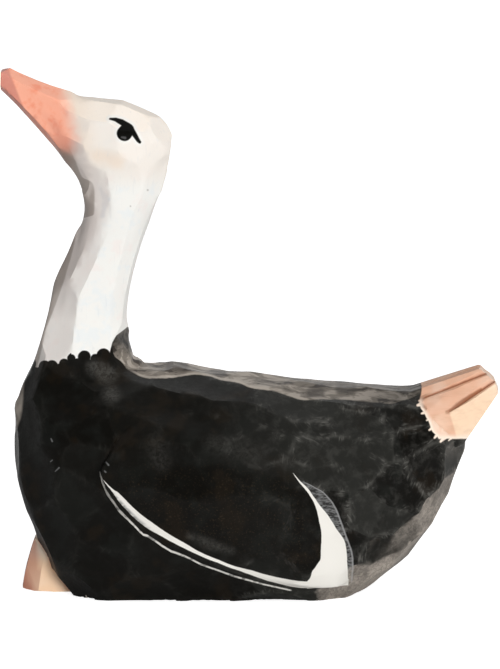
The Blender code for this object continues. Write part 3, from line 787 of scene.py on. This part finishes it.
def sheen_highlights_and_grit(paint, black, place, brushed, wing):
    """A painted highlight in a shallow hollow of the wing, painted sheen in two hollows above it, brown grit on the
    wing, a painted highlight on the shoulder, and a few small specks of painted highlight.
    """
    flat = paint.view(LINE_HAND)["Flat"]
    # Painted highlight in the shallow hollow low on the wing.
    scoop_highlight = paint.dabs(flat, [[(-7.5, 6.7, 0.10), (-5.2, 5.7, 0.35), (-2.4, 4.8, 0.10)]])
    scoop_highlight = paint.times(paint.smooth(scoop_highlight, 0.80, -0.35), paint.smooth(brushed, 0.30, 0.70, 0.2, 1.0))
    black = paint.lay(black, WEAR_AND_SHEEN_GREY, scoop_highlight, 0.35)
    # Painted sheen in the two hollows on the upper wing.
    hollow_sheen = paint.dabs(flat, [[(-11.8, 18.2, 0.3), (-11.0, 15.8, 0.4)], [(-4.5, 18.0, 0.3), (0.5, 16.6, 0.5)]])
    hollow_sheen = paint.times(paint.smooth(hollow_sheen, 1.8, -0.5), paint.smooth(brushed, 0.34, 0.66, 0.2, 1.0))
    black = paint.lay(black, WEAR_AND_SHEEN_GREY, hollow_sheen, 0.16)
    grit = paint.times(paint.smooth(paint.noise(place, 0.22, 2.0), 0.56, 0.72), paint.smooth(wing, 1.5, -2.0))
    black = paint.lay(black, GRIT_BROWN, grit, 0.30)
    # Painted highlight on the shoulder at the base of the neck.
    shoulder = paint.dabs(flat, [[(-19.3, 27.3, 0.7), (-17.8, 26.4, 1.0)], [(-17.2, 24.0, 0.8)]])
    shoulder = paint.times(paint.smooth(shoulder, 0.9, -0.6), paint.smooth(brushed, 0.36, 0.64, 0.3, 1.0))
    black = paint.lay(black, WEAR_AND_SHEEN_GREY, shoulder, 0.42)
    # Small specks of painted highlight on the breast and the wing's front edge.
    highlight_specks = paint.dabs(
        flat,
        [
            [(-24.60, 18.55, 0.05), (-24.45, 18.25, 0.09)],
            [(-24.70, 15.70, 0.04), (-24.45, 15.90, 0.06)],
            [(-24.10, 14.50, 0.04), (-23.60, 14.95, 0.08)],
            [(-17.75, 15.75, 0.06), (-17.45, 15.40, 0.09)],
            [(-17.95, 14.65, 0.05), (-17.80, 14.50, 0.08)],
        ],
    )
    return paint.lay(black, DRY_BRUSH_SHADE_AND_HIGHLIGHT_GREY, paint.smooth(highlight_specks, 0.08, -0.06, 0.0, 0.65))


def black_coat(paint, place, facing, u):
    """Thin black paint, clouded warm and cool, with its wear, painted sheen and painted highlights; and the brushwork
    that the relief repeats.
    """
    clouds = paint.noise(place, 5.0, 3.0, 0.6)
    brushed = paint.noise(place, 0.45, 4.0, 0.65, 0.8)
    black = paint.mix(paint.smooth(clouds, 0.50, 0.62), BLACK, BLACK_COOL)
    black = paint.lay(black, BLACK_WARM, paint.smooth(clouds, 0.46, 0.36))
    wing, wear = wing_and_wear(paint, u)
    black = worn_through(paint, black, place, clouds, wear)
    black = sheen_on_edges(paint, black, facing, u, clouds, brushed)
    black = painted_crest_sheen(paint, black, place, u)
    return sheen_highlights_and_grit(paint, black, place, brushed, wing), brushed


def tinted_white(paint, place, facing, still):
    """White paint with warm and cool tints, warmer on the head and lighter on its upward faces as painted light,
    streaked by the brush down the neck.
    """
    tint = paint.noise(place, 3.2, 3.0, 0.6)
    white = paint.mix(paint.smooth(tint, 0.50, 0.66, 0.0, 0.65), WHITE, WHITE_PINK)
    white = paint.lay(white, WHITE_COOL, paint.smooth(tint, 0.46, 0.34, 0.0, 0.65))
    head = paint.smooth(still["v"], 48.5, 52.0, 0.0, 0.80)
    white = paint.lay(white, HEAD_WHITE, head)
    # Painted light: the head's upward faces laid lighter and warmer.
    white = paint.lay(white, CROWN_LIT_WHITE, paint.smooth(facing[2], 0.35, 0.80), head)
    flat = paint.view(BLEND_HAND)["Flat"]
    cheek = paint.dabs(flat, [[(-18.8, 53.3, 0.5), (-16.4, 52.6, 0.5)]])
    white = paint.lay(white, BEIGE, paint.smooth(cheek, 1.1, -0.4, 0.0, 0.55))
    brush_lines = paint.noise(place, 0.5, 3.0, 0.6, stretch=(1.3, 1.3, 0.16))
    white = paint.lay(white, STREAK_BLUE, paint.smooth(brush_lines, 0.56, 0.80, 0.0, 0.22))
    streak = paint.dabs(flat, [[(-18.5, 49.2, 0.15), (-17.8, 47.9, 0.42), (-18.3, 46.0, 0.20)]])
    return paint.lay(white, STREAK_BLUE, paint.smooth(streak, 0.25, -0.20, 0.0, 0.55)), brush_lines


def behind_beak(paint):
    """Distance in millimetres behind the slanting border at which the beak's salmon ends."""
    loose = paint.view(BLEND_HAND)
    border = paint.curve(
        loose["v"],
        [
            (48.5, -23.2),
            (50.5, -22.8),
            (52.0, -22.3),
            (53.4, -21.9),
            (54.7, -21.6),
            (56.5, -21.9),
            (58.4, -22.3),
            (61.0, -22.8),
            (66.0, -24.0),
        ],
    )
    return paint.math("SUBTRACT", loose["u"], border)


def throat_shade_band(paint, close):
    """1 on the painted shade down the front of throat and neck, a dull band which widens under the jaw."""
    edge = paint.curve(
        close["v"],
        [
            (27.6, -26.4),
            (29.3, -25.95),
            (31.8, -25.4),
            (33.0, -24.95),
            (34.3, -24.45),
            (36.3, -23.7),
            (38.0, -23.1),
            (39.2, -22.75),
            (41.9, -22.0),
            (44.0, -21.6),
            (45.7, -20.9),
            (46.2, -19.35),
            (48.5, -19.25),
            (49.8, -19.40),
            (50.8, -20.8),
            (52.5, -21.5),
            (54.6, -22.5),
            (57.0, -24.2),
        ],
    )
    return paint.smooth(paint.math("SUBTRACT", edge, close["u"]), -0.10, 0.14)


def white_coat(paint, place, facing, still):
    """White paint with painted shade down the front, and the salmon that is drawn over the beak, with painted shade on
    its front faces, its tip and under the jaw.
    """
    white, brush_lines = tinted_white(paint, place, facing, still)
    off = behind_beak(paint)
    on_head = paint.smooth(still["v"], 48.5, 50.5)
    white = paint.lay(white, BEIGE, paint.smooth(off, 4.0, 0.0, 0.0, 0.60), on_head)
    deep = paint.smooth(paint.noise(place, 1.6, 3.0, 0.6), 0.44, 0.66, 0.0, 0.7)
    salmon = paint.mix(deep, SALMON, SALMON_DEEP)
    # Painted shade on faces turned toward the beak: darker salmon on the beak, rose and grey on the white down the
    # neck.
    front = paint.smooth(facing[0], -0.12, -0.60)
    salmon = paint.lay(salmon, SALMON_SHADE, front, 0.80)
    white = paint.lay(white, WHITE_SHADE_ROSE, front, paint.smooth(still["v"], 35.0, 39.5, 0.50, 0.95))
    front_shade = paint.curve(still["v"], [(33.0, 0.0), (38.0, 0.45), (42.0, 0.45), (48.0, 0.35), (54.0, 0.32)])
    white = paint.lay(white, FRONT_SHADE_GREY, front, front_shade)
    close = paint.view(CLOSE_HAND)
    # Painted shade: the dark band down the front of throat and neck.
    white = paint.lay(white, THROAT_SHADE_BROWN, paint.times(throat_shade_band(paint, close), front), 0.69)
    # Painted shade at the beak's tip, and under the jaw.
    tip = paint.smooth(paint.math("MULTIPLY_ADD", close["v"], 0.4, close["u"]), -4.10, -4.45, 0.0, 0.90)
    salmon = paint.lay(salmon, TIP_SHADE_ROSE, tip)
    jaw = paint.times(front, paint.smooth(still["v"], 55.5, 53.0))
    salmon = paint.lay(salmon, THROAT_SHADE_BROWN, jaw, 0.90)
    white = paint.lay(white, salmon, paint.smooth(off, 1.3, -1.3), on_head)
    specks = paint.dabs(paint.view(SPECK_HAND)["Flat"], [[(-12.72, 49.14, 0.1)], [(-14.84, 47.15, 0.07)]])
    return paint.lay(white, SPECK_GREY, paint.smooth(specks, 0.1, -0.05, 0.0, 0.5)), brush_lines


def painted_wing(paint, coat, place):
    """The wing's white edge over the black coat, with the dry-brushed strip behind it."""
    white, shade, thin, strip, rim = wing_whites(paint)
    hatch = paint.noise(place, 0.28, 3.0, 0.6, stretch=(0.35, 1.0, 1.4))
    coat = paint.lay(coat, DRY_BRUSH_SHADE_AND_HIGHLIGHT_GREY, strip, paint.smooth(hatch, 0.40, 0.62, 0.10, 0.80))
    coat = paint.lay(coat, RIM_GREY, rim, 0.50)
    coat = paint.lay(coat, WING_WHITE, thin, 0.85)
    drag = paint.smooth(hatch, 0.32, 0.58, 0.35, 0.90)
    edge_white = paint.mix(paint.times(shade, drag), WING_WHITE, DRY_BRUSH_SHADE_AND_HIGHLIGHT_GREY)
    return paint.lay(coat, edge_white, white)


def painted_eye(paint, coat):
    dark, ring, spot = eye_marks(paint)
    coat = paint.lay(coat, WHITE, ring, 0.75)
    coat = paint.lay(coat, EYE_BLACK, dark)
    return paint.lay(coat, DRY_BRUSH_SHADE_AND_HIGHLIGHT_GREY, spot, 0.35)


def bird_finish():
    """The whole finish: bare wood on tail and feet, and paint over everything else."""
    material = bpy.data.materials.new("hand_painted_limewood")
    material.use_nodes = True
    paint = Painter(material.node_tree)
    shader = material.node_tree.nodes["Principled BSDF"]
    still = paint.view(0.0)
    place = still["Place"]
    facing = paint.split(paint.node("TexCoord").outputs["Normal"])

    wood = bare_wood(paint, place, facing)
    bare, fringe = bare_tail(paint)
    wood = paint.lay(wood, CREAM, fringe, 0.85)
    black, brushed = black_coat(paint, place, facing, still["u"])
    white, brush_lines = white_coat(paint, place, facing, still)
    coat = paint.mix(neck_line(paint), white, black)
    coat = painted_wing(paint, coat, place)
    coat = painted_eye(paint, coat)

    bare = paint.math("MAXIMUM", bare, paint.smooth(paint.value("beyond_foot"), 0.16, 0.06))
    paint.feed(shader.inputs["Base Color"], paint.mix(bare, coat, wood))
    rough = paint.smooth(brushed, 0.3, 0.7, *PAINT_ROUGH)
    paint.feed(shader.inputs["Roughness"], paint.math("MULTIPLY_ADD", bare, WOOD_ROUGHER, rough))
    shader.inputs["Specular IOR Level"].default_value = SHEEN

    height = paint.math("MULTIPLY_ADD", brush_lines, 0.5, paint.times(brushed, 0.5))
    bump = paint.node("Bump", {"Height": height, "Strength": RELIEF_STRENGTH, "Distance": RELIEF})
    paint.feed(shader.inputs["Normal"], bump.outputs[0])
    return material


# Corners of the left half of the block of feet in millimetres, how far its middle lies off the middle plane,
# and the area in square millimetres below which a face of it is left out
FOOT_CORNERS = (
    (-29.03, 2.2, -1.0),
    (-28.06, 2.09, 2.98),
    (-27.13, 4.3, -1.0),
    (-25.67, 3.61, 4.5),
    (-27.02, 1.4, 6.2),
    (-19.75, 4.3, -1.0),
    (-19.75, 3.61, 4.5),
    (-19.75, 1.4, 8.06),
)
FOOT_MIDDLE = 0.029
SLIVER = 0.001


def beyond_foot(points):
    """Distance in millimetres of points beyond the faces of the block of feet, zero on them."""
    block = bmesh.new()
    for x, y, z in FOOT_CORNERS:
        block.verts.new((x, FOOT_MIDDLE + y, z))
        block.verts.new((x, FOOT_MIDDLE - y, z))
    bmesh.ops.convex_hull(block, input=block.verts)
    bmesh.ops.recalc_face_normals(block, faces=block.faces)
    beyond = np.full(len(points), -np.inf)
    for face in block.faces:
        if face.calc_area() > SLIVER:
            beyond = np.maximum(beyond, (points - np.array(face.verts[0].co)) @ np.array(face.normal))
    block.free()
    return beyond


def read_vectors(items, name):
    values = np.empty(len(items) * 3, np.float32)
    items.foreach_get(name, values)
    return values.reshape(-1, 3).astype(float)


def read_numbers(items, name):
    values = np.empty(len(items), np.int32)
    items.foreach_get(name, values)
    return values


def read_ends(edges):
    values = np.empty(len(edges) * 2, np.int32)
    edges.foreach_get("vertices", values)
    return values.reshape(-1, 2)


def neighbours(mesh, facing):
    """The two faces along each edge, the turn between them, and the edges themselves."""
    face_of_loop = np.repeat(np.arange(len(mesh.polygons)), read_numbers(mesh.polygons, "loop_total"))
    edge_of_loop = read_numbers(mesh.loops, "edge_index")
    order = np.argsort(edge_of_loop, kind="stable")
    edges, counts = np.unique(edge_of_loop[order], return_counts=True)
    starts = np.cumsum(counts) - counts
    whole = counts == 2
    first, second = face_of_loop[order[starts[whole]]], face_of_loop[order[starts[whole] + 1]]
    turn = np.arccos(np.clip(np.einsum("ij,ij->i", facing[first], facing[second]), -1.0, 1.0))
    return first, second, turn, edges[whole]


def edge_places(mesh, least_turn, sign):
    """Places in millimetres along the crisp edges, ridges with sign -1 and grooves with 1, before refining."""
    points = read_vectors(mesh.vertices, "co") / MM
    facing, middle = read_vectors(mesh.polygons, "normal"), read_vectors(mesh.polygons, "center") / MM
    ends = read_ends(mesh.edges)
    first, second, turn, edges = neighbours(mesh, facing)
    rise = np.einsum("ij,ij->i", facing[first], middle[second] - middle[first])
    crisp = edges[(turn > least_turn) & (rise * sign > 0.0)]
    places = []
    for low, high in ends[crisp]:
        steps = max(2, int(np.linalg.norm(points[high] - points[low]) / RIDGE_STEP) + 1)
        for share in np.linspace(0.0, 1.0, steps):
            places.append(points[low] * (1.0 - share) + points[high] * share)
    return places


def cut_tones(mesh):
    """A tone from 0 to 1 for each face, the same all over one hollow cut, drawn at random from cut to cut."""
    facing = read_vectors(mesh.polygons, "normal")
    first, second, turn = neighbours(mesh, facing)[:3]
    root = np.arange(len(mesh.polygons))
    joined = turn < CUT_TURN
    for _ in range(CUT_ROUNDS):
        low = np.minimum(root[first[joined]], root[second[joined]])
        np.minimum.at(root, first[joined], low)
        np.minimum.at(root, second[joined], low)
        root = root[root]
    return np.random.default_rng(TONE_SEED).random(len(root))[root]


def distances(points, places):
    """Distance of each point to the nearest of many places."""
    tree = KDTree(len(places))
    for index, place in enumerate(places):
        tree.insert(place, index)
    tree.balance()
    return np.array([tree.find(point)[2] for point in points])


def add_values(mesh, name, values):
    mesh.attributes.new(name, "FLOAT", "POINT").data.foreach_set("value", values.astype(np.float32))


def merged_block():
    """A copy of the carved block as one merged skin, creased along its ridges."""
    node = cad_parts["ostrich"]
    bird = node.copy()
    bird.data = node.data.copy()
    bird.name = "carved_ostrich"
    bpy.context.scene.collection.objects.link(bird)
    bird.parent = None
    select_only(bird)
    bpy.ops.object.mode_set(mode="EDIT")
    bpy.ops.mesh.select_mode(type="EDGE")
    bpy.ops.mesh.select_all(action="SELECT")
    bpy.ops.mesh.remove_doubles(threshold=MERGE_DISTANCE)
    bpy.ops.mesh.customdata_custom_splitnormals_clear()
    bpy.ops.mesh.select_all(action="DESELECT")
    bpy.ops.mesh.edges_select_sharp(sharpness=CREASE_TURN)
    bpy.ops.transform.edge_crease(value=CREASE)
    bpy.ops.mesh.select_all(action="DESELECT")
    bpy.ops.object.mode_set(mode="OBJECT")
    return bird


def carved_bird():
    """The carved block once more, refined and painted: crisp ridges, smooth hollows between them."""
    bird = merged_block()
    ridges = edge_places(bird.data, RIDGE_TURN, -1.0)
    grooves = edge_places(bird.data, GROOVE_TURN, 1.0)
    tones = bird.data.attributes.new("cut_tone", "FLOAT", "FACE")
    tones.data.foreach_set("value", cut_tones(bird.data).astype(np.float32))
    finer = bird.modifiers.new("Finer", "SUBSURF")
    finer.levels = 1
    finer.render_levels = 1
    bpy.ops.object.modifier_apply(modifier=finer.name)
    bpy.ops.object.shade_smooth_by_angle(angle=SMOOTH_TURN)
    points = read_vectors(bird.data.vertices, "co") / MM
    add_values(bird.data, "from_ridge", distances(points, ridges))
    add_values(bird.data, "from_groove", distances(points, grooves))
    add_values(bird.data, "beyond_foot", beyond_foot(points))
    bird.data.materials.clear()
    bird.data.materials.append(bird_finish())
    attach(bird, "root")
    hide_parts("ostrich")
    return bird


def pale_floor():
    """A pale floor that shows the bird's shadow and otherwise looks white, to the eye and in the bird's gloss."""
    bpy.ops.mesh.primitive_plane_add(size=FLOOR_SIZE, location=(0.0, 0.0, 0.0))
    floor = bpy.context.object
    floor.name = "studio_floor"
    material = bpy.data.materials.new("pale_floor")
    material.use_nodes = True
    bench = Bench(material.node_tree)
    shader = material.node_tree.nodes["Principled BSDF"]
    shader.inputs["Base Color"].default_value = FLOOR_COLOUR
    shader.inputs["Roughness"].default_value = 1.0
    shader.inputs["Specular IOR Level"].default_value = 0.0
    path = bench.node("LightPath").outputs
    x, y, _ = bench.split(bench.node("TexCoord").outputs["Object"])
    behind = bench.smooth(bench.math("MULTIPLY_ADD", x, 0.5, y), 0.02, 0.12)
    mirrored = bench.times(path["Is Glossy Ray"], behind)
    seen = bench.math("MAXIMUM", path["Is Camera Ray"], mirrored)
    shader.inputs["Emission Color"].default_value = PURE_WHITE
    bench.feed(shader.inputs["Emission Strength"], bench.times(seen, FLOOR_GLOW))
    floor.data.materials.append(material)


def soft_light():
    """An even white room, brighter behind the bird in what its gloss shows, and one soft lamp by the camera."""
    world = bpy.data.worlds.new("studio")
    bpy.context.scene.world = world
    world.use_nodes = True
    bench = Bench(world.node_tree)
    background = world.node_tree.nodes["Background"]
    path = bench.node("LightPath").outputs
    x, y, z = bench.split(bench.node("TexCoord").outputs["Generated"])
    behind = bench.smooth(bench.math("MULTIPLY_ADD", z, 0.25, y), -0.2, 0.6)
    behind = bench.times(behind, bench.smooth(x, -0.80, -0.15, 0.12, 1.0))
    mirrored = bench.times(path["Is Glossy Ray"], behind)
    seen = bench.math("MAXIMUM", path["Is Camera Ray"], mirrored)
    light = bench.times(bench.math("MULTIPLY_ADD", x, SKY_SIDE, 1.0), SKY_LIGHT)
    light = bench.times(bench.math("MULTIPLY_ADD", bench.math("MAXIMUM", z, 0.0), SKY_RISE, 1.0), light)
    light = bench.node("Mix", {"Factor": path["Is Glossy Ray"], "A": light, "B": FRONT_GLOSS}).outputs["Result"]
    strength = bench.node("Mix", {"Factor": seen, "A": light, "B": 1.0}).outputs["Result"]
    bench.feed(background.inputs["Strength"], strength)
    background.inputs["Color"].default_value = PURE_WHITE
    lamp = bpy.data.lights.new("key", "AREA")
    lamp.shape = "DISK"
    lamp.size = KEY_SIZE
    lamp.energy = KEY_POWER
    key = bpy.data.objects.new("key", lamp)
    bpy.context.scene.collection.objects.link(key)
    side = KEY_SIDE.normalized()
    key.location = AIM + side * KEY_DISTANCE
    key.rotation_euler = side.to_track_quat("Z", "Y").to_euler()
    key.visible_glossy = False


def photo_camera():
    camera = bpy.data.cameras.new("camera")
    camera.sensor_fit = "AUTO"
    camera.sensor_width = SENSOR
    camera.lens = LENS
    camera.clip_start = NEAREST_SEEN
    item = bpy.data.objects.new("camera", camera)
    bpy.context.scene.collection.objects.link(item)
    back = Vector((0.0, -math.cos(SIDE_TILT), math.sin(SIDE_TILT)))
    item.location = AIM + back * (VIEW_HEIGHT * LENS / SENSOR)
    item.rotation_euler = back.to_track_quat("Z", "Y").to_euler()
    bpy.context.scene.camera = item


photo_camera()
soft_light()
pale_floor()
carved_bird()

bpy.context.scene.view_settings.view_transform = "Standard"
